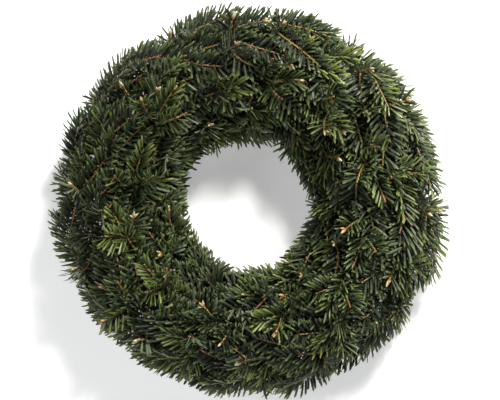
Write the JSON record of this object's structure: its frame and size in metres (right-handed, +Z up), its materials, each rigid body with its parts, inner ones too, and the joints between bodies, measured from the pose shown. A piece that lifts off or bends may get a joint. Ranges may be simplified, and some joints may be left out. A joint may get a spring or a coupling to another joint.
{
  "type": "fresh evergreen wreath",
  "caption": "Fresh fir wreath lying on its back: overlapping branches laid clockwise, bound with green wire on a ring of straw, round an open hole.",
  "frame": {"origin": "middle of the wreath's outline, on the surface that it lies on", "axes": "+Z up through the hole, towards the side that is looked at; +X and +Y along the surface, +X along the wreath's slightly longer width"},
  "size_m": [0.3986, 0.3878, 0.09],
  "materials": {
    "fir": "satin",
    "straw": "matte",
    "green_wire": "gloss"
  },
  "bodies": {
    "root": {"binding_wire": "green_wire", "crown_branch_01": "fir", "crown_branch_02": "fir", "crown_branch_03": "fir", "crown_branch_04": "fir", "crown_branch_05": "fir", "crown_branch_06": "fir", "crown_branch_07": "fir", "crown_branch_08": "fir", "crown_branch_09": "fir", "crown_branch_10": "fir", "crown_branch_11": "fir", "crown_branch_12": "fir", "inner_branch_01": "fir", "inner_branch_02": "fir", "inner_branch_03": "fir", "inner_branch_04": "fir", "inner_branch_05": "fir", "inner_branch_06": "fir", "inner_branch_07": "fir", "inner_branch_08": "fir", "inner_branch_09": "fir", "inner_branch_10": "fir", "inner_branch_11": "fir", "inner_branch_12": "fir", "low_branch_01": "fir", "low_branch_02": "fir", "low_branch_03": "fir", "low_branch_04": "fir", "low_branch_05": "fir", "low_branch_06": "fir", "low_branch_07": "fir", "low_branch_08": "fir", "low_branch_09": "fir", "low_branch_10": "fir", "outer_branch_01": "fir", "outer_branch_02": "fir", "outer_branch_03": "fir", "outer_branch_04": "fir", "outer_branch_05": "fir", "outer_branch_06": "fir", "outer_branch_07": "fir", "outer_branch_08": "fir", "outer_branch_09": "fir", "outer_branch_10": "fir", "outer_branch_11": "fir", "outer_branch_12": "fir", "straw_ring": "straw", "upper_branch_01": "fir", "upper_branch_02": "fir", "upper_branch_03": "fir", "upper_branch_04": "fir", "upper_branch_05": "fir", "upper_branch_06": "fir", "upper_branch_07": "fir", "upper_branch_08": "fir", "upper_branch_09": "fir", "upper_branch_10": "fir", "upper_branch_11": "fir", "upper_branch_12": "fir"}
  },
  "joints": []
}
